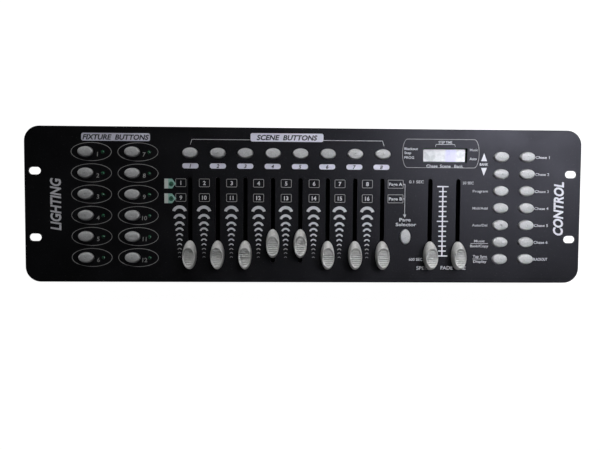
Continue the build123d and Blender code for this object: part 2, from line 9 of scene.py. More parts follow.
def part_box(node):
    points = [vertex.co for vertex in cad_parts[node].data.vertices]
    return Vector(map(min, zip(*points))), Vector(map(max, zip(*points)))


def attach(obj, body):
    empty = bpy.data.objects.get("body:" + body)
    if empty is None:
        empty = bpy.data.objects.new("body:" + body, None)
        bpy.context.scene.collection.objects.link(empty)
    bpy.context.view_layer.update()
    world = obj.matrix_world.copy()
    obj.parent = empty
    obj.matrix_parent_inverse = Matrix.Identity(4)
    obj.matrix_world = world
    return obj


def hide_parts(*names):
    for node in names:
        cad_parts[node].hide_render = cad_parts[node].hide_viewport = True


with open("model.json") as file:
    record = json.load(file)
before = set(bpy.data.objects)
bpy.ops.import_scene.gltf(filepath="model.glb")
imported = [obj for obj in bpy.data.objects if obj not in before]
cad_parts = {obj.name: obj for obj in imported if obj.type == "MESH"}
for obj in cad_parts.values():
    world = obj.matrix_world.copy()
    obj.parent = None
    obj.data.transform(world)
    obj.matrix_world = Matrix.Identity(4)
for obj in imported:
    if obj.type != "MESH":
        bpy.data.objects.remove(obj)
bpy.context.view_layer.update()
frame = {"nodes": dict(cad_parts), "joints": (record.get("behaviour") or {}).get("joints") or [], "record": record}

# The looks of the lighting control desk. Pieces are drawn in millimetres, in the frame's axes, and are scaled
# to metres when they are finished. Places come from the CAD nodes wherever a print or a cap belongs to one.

MM = 0.001

# ---- Places from the frame -----------------------------------------------------------------------


def node_box(node):
    """A CAD node's lowest and highest corners, in millimetres."""
    low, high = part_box(node)
    return low / MM, high / MM


def node_centre(node):
    low, high = node_box(node)
    return (low + high) / 2


PANEL_LOW, PANEL_HIGH = node_box("front_panel")
PANEL_TOP = PANEL_HIGH.z
WALL = node_box("base_tray")[1].y  # the outer face of the rear wall

SCANNER_BUTTONS = [f"scanner_button_{n}" for n in range(1, 13)]
SCENE_BUTTONS = [f"scene_button_{n}" for n in range(1, 9)]
LEFT_BUTTONS = ["bank_up_button", "bank_down_button", "program_button", "midi_button", "auto_button",
                "music_button", "tap_button"]
RIGHT_BUTTONS = [f"chase_{n}_button" for n in range(1, 7)] + ["blackout_button"]
PAGE_BUTTON = "page_selector_button"
CHANNEL_FADERS = [f"channel_fader_{n}" for n in range(1, 9)]
MASTER_FADERS = ["speed_fader", "fade_time_fader"]

# ---- Materials -----------------------------------------------------------------------------------


MIX_A, MIX_B, MIX_RESULT = 6, 7, 2  # a mix node's sockets for colours
WORN, SOUND = 0.80, 0.98  # how far the rounded normal agrees with the surface's, at an edge and off it


class Finish:
    """A node material: its principled shader, with short calls to add what it needs."""

    def __init__(self, name):
        self.material = bpy.data.materials.new(name)
        self.material.use_nodes = True
        self.nodes = self.material.node_tree.nodes
        self.links = self.material.node_tree.links
        self.shader = self.nodes["Principled BSDF"]
        self.where = self.nodes.new("ShaderNodeTexCoord").outputs["Object"]

    def set(self, **values):
        for name, value in values.items():
            self.shader.inputs[name.replace("_", " ")].default_value = value

    def noise(self, size, detail=4.0, rough=0.55):
        """Noise with features of this size in millimetres, from 0 to 1."""
        node = self.nodes.new("ShaderNodeTexNoise")
        node.inputs["Scale"].default_value = 1 / (size * MM)
        node.inputs["Detail"].default_value = detail
        node.inputs["Roughness"].default_value = rough
        self.links.new(self.where, node.inputs["Vector"])
        return node.outputs["Fac"]

    def ramp(self, source, low, high, start, end):
        """source from low..high, drawn out to start..end."""
        node = self.nodes.new("ShaderNodeMapRange")
        node.inputs["From Min"].default_value = low
        node.inputs["From Max"].default_value = high
        node.inputs["To Min"].default_value = start
        node.inputs["To Max"].default_value = end
        self.links.new(source, node.inputs["Value"])
        return node.outputs["Result"]

    def math(self, operation, a, b):
        node = self.nodes.new("ShaderNodeMath")
        node.operation = operation
        for socket, value in zip(node.inputs, (a, b)):
            if isinstance(value, (int, float)):
                socket.default_value = value
            else:
                self.links.new(value, socket)
        return node.outputs[0]

    def mix(self, factor, a, b):
        """Colour a where factor is 0, and b where it is 1. Each is a colour or a socket."""
        node = self.nodes.new("ShaderNodeMix")
        node.data_type = "RGBA"
        self.links.new(factor, node.inputs["Factor"])
        for socket, value in ((node.inputs[MIX_A], a), (node.inputs[MIX_B], b)):
            if isinstance(value, tuple):
                socket.default_value = (*value, 1.0)
            else:
                self.links.new(value, socket)
        return node.outputs[MIX_RESULT]

    def edges(self, reach=0.4):
        """1 within reach, in millimetres, of an edge, where a finish wears, and 0 elsewhere."""
        bevel = self.nodes.new("ShaderNodeBevel")
        bevel.inputs["Radius"].default_value = reach * MM
        flat = self.nodes.new("ShaderNodeNewGeometry")
        turned = self.nodes.new("ShaderNodeVectorMath")
        turned.operation = "DOT_PRODUCT"
        self.links.new(bevel.outputs["Normal"], turned.inputs[0])
        self.links.new(flat.outputs["Normal"], turned.inputs[1])
        return self.ramp(turned.outputs["Value"], WORN, SOUND, 1.0, 0.0)

    def colour(self, source):
        self.links.new(source, self.shader.inputs["Base Color"])

    def roughness(self, source):
        self.links.new(source, self.shader.inputs["Roughness"])

    def bump(self, source, depth, strength=1.0):
        """Raises the surface by depth, in millimetres, where source is 1."""
        node = self.nodes.new("ShaderNodeBump")
        node.inputs["Strength"].default_value = strength
        node.inputs["Distance"].default_value = depth * MM
        self.links.new(source, node.inputs["Height"])
        old = self.shader.inputs["Normal"].links
        if old:
            self.links.new(old[0].from_socket, node.inputs["Normal"])
        self.links.new(node.outputs["Normal"], self.shader.inputs["Normal"])


def powder_coat(name, dark, light, roughness, sheen):
    """Fine powder coat: a pebbled grain, handling marks that change the sheen, and bright worn edges."""
    f = Finish(name)
    smudge = f.ramp(f.noise(38.0, 5.0), 0.35, 0.7, 0.0, 1.0)
    speck = f.ramp(f.noise(0.9, 2.0), 0.66, 0.72, 0.0, 1.0)
    base = f.mix(smudge, dark, light)
    dusty = f.mix(f.math("MULTIPLY", speck, 0.10), base, (0.25, 0.25, 0.25))
    f.colour(f.mix(f.math("MULTIPLY", f.edges(), 0.25), dusty, (0.12, 0.12, 0.125)))
    f.roughness(f.ramp(f.math("ADD", smudge, f.noise(2.2)), 0.3, 1.6, roughness - 0.06, roughness + 0.1))
    f.set(Specular_IOR_Level=sheen, Specular_Tint=(0.90, 0.91, 1.0, 1.0))
    f.bump(f.noise(0.55, 3.0), 0.035, 0.6)
    f.bump(f.noise(7.0, 2.0), 0.05, 0.35)
    return f.material


def moulded(name, dark, light, roughness, grain=0.35, patch=3.5):
    """Satin moulded plastic: faint mottling, spark-eroded grain, and polish where fingers and edges rub."""
    f = Finish(name)
    mottle = f.ramp(f.noise(patch, 4.0), 0.3, 0.7, 0.0, 1.0)
    base = f.mix(mottle, dark, light)
    grime = f.ramp(f.noise(9.0, 6.0, 0.7), 0.5, 0.75, 0.0, 0.35)
    soiled = f.mix(grime, base, tuple(c * 0.72 for c in dark))
    f.colour(f.mix(f.math("MULTIPLY", f.edges(), 0.3), soiled, tuple(min(1.0, c * 1.25) for c in light)))
    f.roughness(f.ramp(f.noise(5.0), 0.3, 0.7, roughness - 0.08, roughness + 0.08))
    f.bump(f.noise(grain, 2.0), 0.02, 0.5)
    return f.material


def screen_print(name, colour):
    """Printed ink: slightly uneven cover with pinholes, and a low sheen."""
    f = Finish(name)
    cover = f.ramp(f.noise(0.7, 3.0), 0.3, 0.62, 0.86, 1.0)
    thin = f.ramp(f.noise(14.0, 3.0), 0.35, 0.7, 0.9, 1.0)
    share = f.math("MULTIPLY", cover, thin)
    f.colour(f.mix(share, tuple(c * 0.4 for c in colour), colour))
    f.roughness(f.ramp(f.noise(1.6), 0.3, 0.7, 0.42, 0.6))
    f.bump(f.noise(0.3, 2.0), 0.01, 0.5)
    return f.material


def plated(name, colour, roughness):
    """Plated metal: fine turning scratches, and slightly tarnished patches."""
    f = Finish(name)
    f.set(Metallic=1.0)
    tarnish = f.ramp(f.noise(2.5, 5.0), 0.45, 0.75, 0.0, 0.5)
    f.colour(f.mix(tarnish, colour, tuple(c * 0.6 for c in colour)))
    f.roughness(f.ramp(f.noise(0.8, 4.0), 0.3, 0.7, roughness - 0.08, roughness + 0.14))
    f.bump(f.noise(0.18, 2.0), 0.006, 0.5)
    return f.material


def rubber(name):
    """Moulded rubber: dusty, with a matt pebbled skin."""
    f = Finish(name)
    dust = f.ramp(f.noise(4.0, 6.0, 0.7), 0.45, 0.7, 0.0, 0.35)
    f.colour(f.mix(dust, (0.018, 0.018, 0.018), (0.11, 0.105, 0.10)))
    f.roughness(f.ramp(f.noise(1.5), 0.3, 0.7, 0.72, 0.9))
    f.bump(f.noise(0.4, 3.0), 0.05, 0.6)
    return f.material


def circuit_board(name):
    """Solder mask over copper tracks, with a weave under it."""
    f = Finish(name)
    tracks = f.nodes.new("ShaderNodeTexBrick")
    tracks.inputs["Scale"].default_value = 1 / (12.0 * MM)
    tracks.inputs["Mortar Size"].default_value = 0.035
    f.links.new(f.where, tracks.inputs["Vector"])
    mask = f.ramp(f.noise(20.0), 0.3, 0.7, 0.0, 1.0)
    base = f.mix(mask, (0.012, 0.085, 0.03), (0.018, 0.12, 0.045))
    f.colour(f.mix(tracks.outputs["Fac"], base, (0.04, 0.2, 0.07)))
    f.roughness(f.ramp(f.noise(1.0), 0.3, 0.7, 0.28, 0.42))
    f.bump(tracks.outputs["Fac"], 0.05, 0.6)
    return f.material


def ribbon_finish(name, pitch):
    """Grey ribbon cable, with one ridge per wire, and painted shade in the grooves between the ridges."""
    f = Finish(name)
    wires = f.nodes.new("ShaderNodeTexWave")
    wires.inputs["Scale"].default_value = math.pi / (10 * pitch * MM)
    f.links.new(f.where, wires.inputs["Vector"])
    # The colour follows the ridges: painted shade in the grooves between the wires, and lighter painted highlights
    # on the ridges.
    f.colour(f.mix(wires.outputs["Fac"], (0.2, 0.2, 0.2), (0.45, 0.45, 0.45)))
    f.roughness(f.ramp(f.noise(2.0), 0.3, 0.7, 0.45, 0.6))
    f.bump(wires.outputs["Fac"], 0.3, 0.6)
    return f.material


def tinted_lens(name, colour, deep):
    """Tinted clear plastic: deeper in the middle, and lighter towards its edge where it is seen edge-on, which is
    a painted sheen.
    """
    f = Finish(name)
    facing = f.nodes.new("ShaderNodeLayerWeight")
    facing.inputs["Blend"].default_value = 0.35
    cloud = f.ramp(f.noise(1.2, 3.0), 0.3, 0.7, 0.75, 1.0)
    # The colour turns lighter as the surface is seen edge-on: a painted sheen round the lens's edge.
    f.colour(f.mix(f.math("MULTIPLY", facing.outputs["Facing"], cloud), deep, colour))
    f.set(Coat_Weight=0.6, Coat_Roughness=0.08, Subsurface_Weight=0.15, Subsurface_Scale=0.5 * MM)
    f.roughness(f.ramp(f.noise(0.6), 0.3, 0.7, 0.18, 0.3))
    f.bump(f.noise(0.5, 2.0), 0.01, 0.4)
    return f.material


FILM_BAND = (0.56, 0.75)  # the lilac band's sides, as shares of the film's length
FILM_BLEND = 0.06


def milky_film(name):
    """The protective film over the display: milky, cloudy, with a lilac band where it has lifted."""
    f = Finish(name)
    split = f.nodes.new("ShaderNodeSeparateXYZ")
    f.links.new(f.where, split.inputs[0])
    low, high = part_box("display_film")
    across = f.ramp(split.outputs["X"], low.x, high.x, 0.0, 1.0)
    left = f.ramp(across, FILM_BAND[0] - FILM_BLEND, FILM_BAND[0], 0.0, 1.0)
    right = f.ramp(across, FILM_BAND[1], FILM_BAND[1] + FILM_BLEND, 1.0, 0.0)
    band = f.math("MULTIPLY", left, right)
    cloud = f.ramp(f.noise(5.0, 4.0), 0.35, 0.65, 0.0, 1.0)
    milk = f.mix(cloud, (0.44, 0.47, 0.46), (0.62, 0.635, 0.63))
    f.colour(f.mix(band, milk, (0.42, 0.42, 0.66)))
    f.roughness(f.ramp(cloud, 0.0, 1.0, 0.22, 0.4))
    f.set(Coat_Weight=0.4, Coat_Roughness=0.12)
    f.bump(f.noise(6.0, 2.0), 0.15, 0.5)
    return f.material


PANEL_PAINT = powder_coat("panel_paint", (0.0035, 0.0035, 0.0038), (0.0058, 0.0058, 0.0064), 0.42, 0.19)
TRAY_PAINT = powder_coat("tray_paint", (0.010, 0.010, 0.011), (0.016, 0.016, 0.017), 0.45, 0.35)
BUTTON_PLASTIC = moulded("button_plastic", (0.39, 0.395, 0.395), (0.52, 0.525, 0.525), 0.55, patch=1.3)
KNOB_PLASTIC = moulded("knob_plastic", (0.39, 0.39, 0.375), (0.51, 0.505, 0.49), 0.46, patch=1.7)
BLACK_PLASTIC = moulded("black_plastic", (0.014, 0.014, 0.015), (0.024, 0.024, 0.025), 0.42)
ROCKER_PLASTIC = moulded("rocker_plastic", (0.016, 0.016, 0.017), (0.022, 0.022, 0.023), 0.22, 0.8)
WHITE_INK = screen_print("white_ink", (0.70, 0.70, 0.74))
LILAC_INK = screen_print("lilac_ink", (0.72, 0.72, 0.83))
GREY_INK = screen_print("grey_ink", (0.33, 0.33, 0.325))
PALE_INK = screen_print("pale_ink", (0.57, 0.58, 0.60))
FAINT_INK = screen_print("faint_ink", (0.21, 0.21, 0.22))
DARK_INK = screen_print("dark_ink", (0.022, 0.022, 0.04))
TAG_INK = screen_print("tag_ink", (0.60, 0.66, 0.62))
MINT_INK = screen_print("mint_ink", (0.27, 0.50, 0.42))
TEAL_INK = screen_print("teal_ink", (0.02, 0.11, 0.075))
RED_PLASTIC = moulded("red_plastic", (0.32, 0.015, 0.012), (0.42, 0.02, 0.016), 0.35)
STEEL = plated("bright_steel", (0.62, 0.62, 0.63), 0.24)
DARK_STEEL = plated("phosphated_steel", (0.012, 0.012, 0.013), 0.6)
BLACK_STEEL = plated("black_zinc", (0.11, 0.11, 0.115), 0.34)
GOLD_CONTACT = plated("gilt_contact", (0.80, 0.58, 0.26), 0.2)
FOOT_RUBBER = rubber("foot_rubber")
BOARD = circuit_board("solder_mask")
WIRE_PITCH = 1.27
RIBBON = ribbon_finish("ribbon_sheath", WIRE_PITCH)
LED_LENS = tinted_lens("led_lens", (0.06, 0.28, 0.13), (0.01, 0.06, 0.03))
DISPLAY_LENS = tinted_lens("display_lens", (0.07, 0.03, 0.03), (0.02, 0.008, 0.008))
FILM = milky_film("display_film")

# ---- Shapes --------------------------------------------------------------------------------------

PRINT_DEPTH = 0.05
PRINT_SUNK = 0.02
SEGMENTS = 72
SMALL_SEGMENTS = 24  # round pins and sleeves
WELD = 0.0005
MITRE_LIMIT = 0.4
CAPITAL_SHARE = 0.73  # the built-in face's capital height, as a share of its size
TOP = Matrix.Translation((0, 0, PANEL_TOP))


def ellipse(x, y, half_x, half_y, z, count=SEGMENTS):
    """The points of an ellipse at height z; one point if it has no size."""
    if half_x == 0:
        return [Vector((x, y, z))]
    turns = [2 * math.pi * i / count for i in range(count)]
    return [Vector((x + half_x * math.cos(a), y + half_y * math.sin(a), z)) for a in turns]


def arc(x, y, half_x, half_y, start, end, count):
    """Flat points along part of an ellipse, with its angles in degrees."""
    angles = [math.radians(start + (end - start) * i / count) for i in range(count + 1)]
    return [Vector((x + half_x * math.cos(a), y + half_y * math.sin(a))) for a in angles]


def rounded(x, y, width, depth, radius, steps=6):
    """The outline of a rectangle with round corners."""
    points = []
    for turn, (sx, sy) in enumerate(((1, 1), (-1, 1), (-1, -1), (1, -1))):
        corner = (x + sx * (width / 2 - radius), y + sy * (depth / 2 - radius))
        points += arc(*corner, radius, radius, 90 * turn, 90 * turn + 90, steps)
    return points


def add_loops(bm, loops, place=Matrix.Identity(4)):
    """A closed skin over a stack of loops. A loop with one point closes an end."""
    rings = [[bm.verts.new(place @ p) for p in loop] for loop in loops]
    for a, b in zip(rings, rings[1:]):
        count = max(len(a), len(b))
        for i in range(count):
            j = (i + 1) % count
            corners = [a[i % len(a)], a[j % len(a)], b[j % len(b)], b[i % len(b)]]
            bm.faces.new(list(dict.fromkeys(corners)))


def add_turned(bm, profile, place, count=SEGMENTS):
    """A turned shape: profile is (radius, height) from one end to the other, about place's own z axis."""
    add_loops(bm, [ellipse(0, 0, r, r, z, count) for r, z in profile], place)


def add_plate(bm, outline, low, high, place=TOP):
    """A flat plate with this outline, from low to high above place."""
    below = [bm.verts.new(place @ Vector((p.x, p.y, low))) for p in outline]
    above = [bm.verts.new(place @ Vector((p.x, p.y, high))) for p in outline]
    bm.faces.new(above)
    bm.faces.new(below[::-1])
    for i in range(len(outline)):
        j = (i + 1) % len(outline)
        bm.faces.new([below[i], below[j], above[j], above[i]])


def add_line(bm, points, width, closed=False, place=TOP):
    """A printed line of this width along the points, with mitred corners."""
    points = [Vector((p[0], p[1])) for p in points]
    sides = []
    count = len(points)
    for i, p in enumerate(points):
        before = points[i - 1] if closed or i > 0 else None
        after = points[(i + 1) % count] if closed or i < count - 1 else None
        into = (p - before).normalized() if before is not None else (after - p).normalized()
        out = (after - p).normalized() if after is not None else into
        along = (into + out).normalized()
        across = Vector((-along.y, along.x))
        reach = width / 2 / max(MITRE_LIMIT, across.dot(Vector((-out.y, out.x))))
        sides.append((p + across * reach, p - across * reach))
    levels = (-PRINT_SUNK, PRINT_DEPTH)
    verts = [[bm.verts.new(place @ Vector((s.x, s.y, z))) for z in levels for s in pair] for pair in sides]
    for i in range(count if closed else count - 1):
        a, b = verts[i], verts[(i + 1) % count]
        for m, n in ((0, 1), (1, 3), (3, 2), (2, 0)):
            bm.faces.new([a[m], a[n], b[n], b[m]])
    if not closed:
        for end in (verts[0], verts[-1]):
            bm.faces.new([end[0], end[1], end[3], end[2]])


def add_print(bm, outline, lift=0.0):
    """A printed area with this outline on the panel."""
    add_plate(bm, outline, lift - PRINT_SUNK, lift + PRINT_DEPTH)


def add_words(bm, words, x, y, height, slant=0.0, bold=0.0, width=None, place=TOP, turn=0.0, align="CENTER",
              level=0.0):
    """Raised lettering of this capital height in the built-in face, centred on (x, y), or starting there."""
    curve = bpy.data.curves.new("words", "FONT")
    curve.body = words
    curve.size = height / CAPITAL_SHARE
    curve.shear = slant
    curve.offset = bold * height
    curve.extrude = (PRINT_DEPTH + PRINT_SUNK) / 2
    curve.resolution_u = 3
    letters = bpy.data.objects.new("words", curve)
    bpy.context.scene.collection.objects.link(letters)
    bpy.context.view_layer.update()
    mesh = bpy.data.meshes.new_from_object(letters.evaluated_get(bpy.context.evaluated_depsgraph_get()))
    bpy.data.objects.remove(letters)
    bpy.data.curves.remove(curve)
    low = min(v.co.x for v in mesh.vertices)
    high = max(v.co.x for v in mesh.vertices)
    stretch = width / (high - low) if width else 1.0
    anchor = {"CENTER": (low + high) / 2, "LEFT": low}[align]
    centre = Matrix.Translation((-anchor, -height / 2, (PRINT_DEPTH - PRINT_SUNK) / 2 + level))
    spot = Matrix.Translation((x, y, 0)) @ Matrix.Rotation(math.radians(turn), 4, "Z")
    mesh.transform(place @ spot @ Matrix.Diagonal((stretch, 1, 1, 1)) @ centre)
    bm.from_mesh(mesh)
    bpy.data.meshes.remove(mesh)


def piece(name, bm, material, body="desk", replaces=(), sharp=32.0):
    """Makes a piece from a mesh drawn in millimetres, and lets it ride on its body."""
    bmesh.ops.remove_doubles(bm, verts=bm.verts, dist=WELD)
    bmesh.ops.recalc_face_normals(bm, faces=bm.faces)
    mesh = bpy.data.meshes.new(name)
    bm.to_mesh(mesh)
    bm.free()
    mesh.transform(Matrix.Scale(MM, 4))
    mesh.materials.append(material)
    mesh.shade_smooth()
    mesh.set_sharp_from_angle(angle=math.radians(sharp))
    made = bpy.data.objects.new(name, mesh)
    bpy.context.scene.collection.objects.link(made)
    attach(made, body)
    if replaces:
        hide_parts(*replaces)
    return made


# ---- Finishes of the CAD nodes that stay ---------------------------------------------------------

KEPT = {
    "front_panel": PANEL_PAINT,
    "base_tray": TRAY_PAINT,
    "circuit_boards": BOARD,
    "ribbon_cable": RIBBON,
    "fader_housings": DARK_STEEL,
    "tact_switches": BLACK_PLASTIC,
    "indicator_leds": LED_LENS,
    "display_module": DISPLAY_LENS,
    "display_film": FILM,
    "dmx_sockets": BLACK_PLASTIC,
    "signal_jacks": BLACK_PLASTIC,
    "power_switch_housing": BLACK_PLASTIC,
    "rubber_feet": FOOT_RUBBER,
    "fasteners": BLACK_STEEL,
    "power_rocker": ROCKER_PLASTIC,
}
for node, finish in KEPT.items():
    slots = frame["nodes"][node].data.materials
    for i in range(len(slots)):
        slots[i] = finish

# ---- Push buttons --------------------------------------------------------------------------------

BUTTON_EDGE = 1.5  # the rounding between the top and the side
BUTTON_EDGE_STEPS = 8
BUTTON_CROWN = 0.28  # the top is this much lower at its edge than in its middle
CROWN_SHARES = (0.3, 0.5, 0.7, 0.85, 1.0)
FLANGE_OVERHANG = 1.3
FLANGE_THICKNESS = 1.2
FLANGE_DROP = 2.0  # the flange is under the sheet
FLANGE_GAP = 0.02  # between the flange and the sheet
FLANGE_FILLET = (0.05, 0.07)  # across and up, where the cap meets its flange
BOSS_RADIUS = 2.8
BOSS_LIFT = 3.0  # the boss's lower end, above the plunger's
PLUNGER_RADIUS = 1.65
PIP_RADIUS = 0.85
PIP_FLOOR_RADIUS = 0.75 * PIP_RADIUS
PIP_DEPTH = 0.6
PIP_LIP = 0.01


def button(name):
    """A domed oval cap with a moulding pip in its middle, over its flange, boss and plunger."""
    low, high = node_box(name)
    centre = (low + high) / 2
    wide = [(high.x - low.x) / 2, (high.y - low.y) / 2]
    half = [w - FLANGE_OVERHANG for w in wide]
    top = high.z
    edge_top = top - BUTTON_CROWN
    skirt = top - BUTTON_EDGE
    flat = [h - BUTTON_EDGE for h in half]

    def ring(half_x, half_y, z):
        return ellipse(centre.x, centre.y, half_x, half_y, z)

    loops = [ring(0, 0, top - PIP_DEPTH)]
    loops.append(ring(PIP_FLOOR_RADIUS, PIP_FLOOR_RADIUS, top - PIP_DEPTH))
    loops.append(ring(PIP_RADIUS, PIP_RADIUS, top - PIP_LIP))
    for share in CROWN_SHARES:
        loops.append(ring(flat[0] * share, flat[1] * share, top - BUTTON_CROWN * share**2))
    for step in range(1, BUTTON_EDGE_STEPS + 1):
        turn = math.radians(90 * step / BUTTON_EDGE_STEPS)
        out = BUTTON_EDGE * math.sin(turn)
        loops.append(ring(flat[0] + out, flat[1] + out, skirt + (edge_top - skirt) * math.cos(turn)))
    flange_top = PANEL_TOP - FLANGE_DROP - FLANGE_GAP
    flange_low = PANEL_TOP - FLANGE_DROP - FLANGE_THICKNESS
    loops.append(ring(*half, flange_top + FLANGE_FILLET[1]))
    loops.append(ring(half[0] + FLANGE_FILLET[0], half[1] + FLANGE_FILLET[0], flange_top))
    loops.append(ring(*wide, flange_top))
    loops.append(ring(*wide, flange_low))
    loops.append(ring(BOSS_RADIUS, BOSS_RADIUS, flange_low))
    boss_low = low.z + BOSS_LIFT
    loops.append(ring(BOSS_RADIUS, BOSS_RADIUS, boss_low))
    loops.append(ring(PLUNGER_RADIUS, PLUNGER_RADIUS, boss_low))
    loops.append(ring(PLUNGER_RADIUS, PLUNGER_RADIUS, low.z))
    loops.append(ring(0, 0, low.z))
    bm = bmesh.new()
    add_loops(bm, loops)
    piece(f"{name}_cap", bm, BUTTON_PLASTIC, name, [name])


for name in SCANNER_BUTTONS + SCENE_BUTTONS + LEFT_BUTTONS + RIGHT_BUTTONS + [PAGE_BUTTON]:
    button(name)

# ---- Fader knobs ---------------------------------------------------------------------------------

KNOB_SEGMENTS = 192
SIDE_RINGS = 12
RIM_SHIFT = -1.25  # the rim sits nearer the operator than the foot does
RIM_HALF = (5.3, 8.75)
RIM_ROUND = 0.45
RIM_SAG = 1.5  # the rim is this much lower at its sides than at its ends, as if scooped by a finger
RIM_STEPS = 8
DISH_HALF = (4.6, 7.95)
DISH_SHIFT = -0.3  # the dish sits nearer the operator than the rim does
DISH_STEP = 0.35  # the edge of the dish, below the rim
DISH_DEPTH = 0.35  # the hollow's depth under that edge
DISH_COLUMNS = 14
HOLLOW_RISE = 1.7  # how steeply the hollow deepens, in from the dish's edge
RIB_PITCH = 1.62
RIB_DEPTH = 0.75
RIB_RISE = 8  # how steeply the ribs start, in from the dish's edge
RIB_POWER = 0.7  # below 1 makes the grooves wide and the ribs between them thin
FOOT_GAP = 1.0  # between the panel and the knob's foot
FOOT_HOLLOW = 0.6
FOOT_WALL = (1.2, 1.0)  # from the foot's side to its hollow, at the hollow's roof and at its mouth
FOOT_CHAMFER = 0.15
LEVER_BASE = (6.6, 9.0, 0.6)  # across, along, and its corners' radius
LEVER_BASE_HEIGHT = 3.9
LEVER_BLADE = (1.2, 5.0, 0.3)
LEVER_OVERLAP = 0.1


def dish_floor(across, along):
    """How far the dish's floor is below its edge, from its place across and along, each from -1 to 1."""
    inside = 1 - math.hypot(across, along)
    hollow = DISH_DEPTH * max(0.0, 1 - along**2) * min(1.0, HOLLOW_RISE * inside)
    rib = RIB_DEPTH * abs(math.cos(math.pi * along * DISH_HALF[1] / RIB_PITCH)) ** RIB_POWER
    return hollow + rib * min(1.0, RIB_RISE * inside)


def add_dish(bm, x, y, top):
    """The ribbed floor of the dish, in rows that run across it so that its ribs are straight."""
    rows = []
    for k in range(KNOB_SEGMENTS // 2 + 1):
        angle = math.pi * (k / (KNOB_SEGMENTS // 2) - 0.5)
        columns = [math.sin(math.pi * (c / DISH_COLUMNS - 0.5)) for c in range(DISH_COLUMNS + 1)]
        row = []
        for c in columns:
            across, along = c * math.cos(angle), math.sin(angle)
            z = top - RIM_SAG * (1 - along**2) - max(0.0, dish_floor(across, along))
            row.append(bm.verts.new((x + across * DISH_HALF[0], y + along * DISH_HALF[1], z)))
        rows.append(row)
    for near, far in zip(rows, rows[1:]):
        for c in range(DISH_COLUMNS):
            bm.faces.new([near[c], near[c + 1], far[c + 1], far[c]])


def fader_knob(name):
    """An oval knob whose far end slopes up to a rim round a ribbed finger dish, on its lever."""
    low, high = node_box(name)
    centre = (low + high) / 2
    foot = PANEL_TOP + FOOT_GAP
    top = high.z
    foot_half = ((high.x - low.x) / 2, (high.y - low.y) / 2)

    def ring(half_x, half_y, z, shift=0.0, sag=0.0):
        loop = ellipse(centre.x, centre.y + shift, half_x, half_y, z, KNOB_SEGMENTS)
        for point in loop:
            along = (point.y - centre.y - shift) / max(half_y, 1e-6)
            point.z -= sag * (1 - along**2)
        return loop

    loops = [ring(0, 0, foot + FOOT_HOLLOW)]
    for inset, lift in ((FOOT_WALL[0], FOOT_HOLLOW), (FOOT_WALL[1], 0.0), (FOOT_CHAMFER, 0.0)):
        loops.append(ring(foot_half[0] - inset, foot_half[1] - inset, foot + lift))
    side_low = foot + FOOT_CHAMFER
    side_top = top - RIM_ROUND
    for i in range(SIDE_RINGS + 1):
        t = i / SIDE_RINGS
        bulge = math.cos(t * math.pi / 2)
        half = [r + (f - r) * bulge for f, r in zip(foot_half, RIM_HALF)]
        rise = (t + math.sin(t * math.pi / 2)) / 2
        level = side_low + rise * (side_top - side_low)
        loops.append(ring(*half, level, RIM_SHIFT * (1 - bulge), RIM_SAG * t**2))
    for turn in range(1, RIM_STEPS + 1):
        # The rim is rounded over, from its outer edge to the edge of the dish.
        a = math.pi * turn / RIM_STEPS
        share = (1 - math.cos(a)) / 2
        drop = RIM_ROUND if share < 0.5 else DISH_STEP
        half = [r + (d - r) * share for r, d in zip(RIM_HALF, DISH_HALF)]
        level = top - drop * (1 - math.sin(a))
        loops.append(ring(*half, level, RIM_SHIFT + DISH_SHIFT * share, RIM_SAG))
    bm = bmesh.new()
    add_loops(bm, loops)
    add_dish(bm, centre.x, centre.y + RIM_SHIFT + DISH_SHIFT, top - DISH_STEP)
    lever = Matrix.Translation((centre.x, centre.y, 0))
    blade_low = low.z + LEVER_BASE_HEIGHT - LEVER_OVERLAP
    add_plate(bm, rounded(0, 0, *LEVER_BASE), low.z, low.z + LEVER_BASE_HEIGHT, lever)
    add_plate(bm, rounded(0, 0, *LEVER_BLADE), blade_low, foot + FOOT_HOLLOW + LEVER_OVERLAP, lever)
    piece(f"{name}_knob", bm, KNOB_PLASTIC, name, [name], sharp=40.0)


for name in CHANNEL_FADERS + MASTER_FADERS:
    fader_knob(name)

# ---- Panel printing ------------------------------------------------------------------------------

FINE_LINE = 0.38
THIN_LINE = 0.42
NUMBER_HEIGHT = 3.5
LABEL_HEIGHT = 2.3
white = bmesh.new()
lilac = bmesh.new()
grey = bmesh.new()
faint = bmesh.new()
pale = bmesh.new()
dark = bmesh.new()
tags = bmesh.new()
mint = bmesh.new()
teal = bmesh.new()

# Scanner buttons: an oval line round each button, its number and its indicator.
RING_HALF = (17.1, 7.8)
RING_SHIFT = 5.0
RING_LINE = 0.45
RING_POINTS = 144
NUMBER_SHIFT = (10.3, -2.0)
SCANNER_NUMBER_HEIGHT = 3.8
for number, name in enumerate(SCANNER_BUTTONS, 1):
    spot = node_centre(name)
    add_line(grey, ellipse(spot.x + RING_SHIFT, spot.y, *RING_HALF, 0, RING_POINTS), RING_LINE, True)
    x, y = spot.x + NUMBER_SHIFT[0], spot.y + NUMBER_SHIFT[1]
    add_words(grey, str(number), x, y, SCANNER_NUMBER_HEIGHT, slant=0.06, bold=0.02)

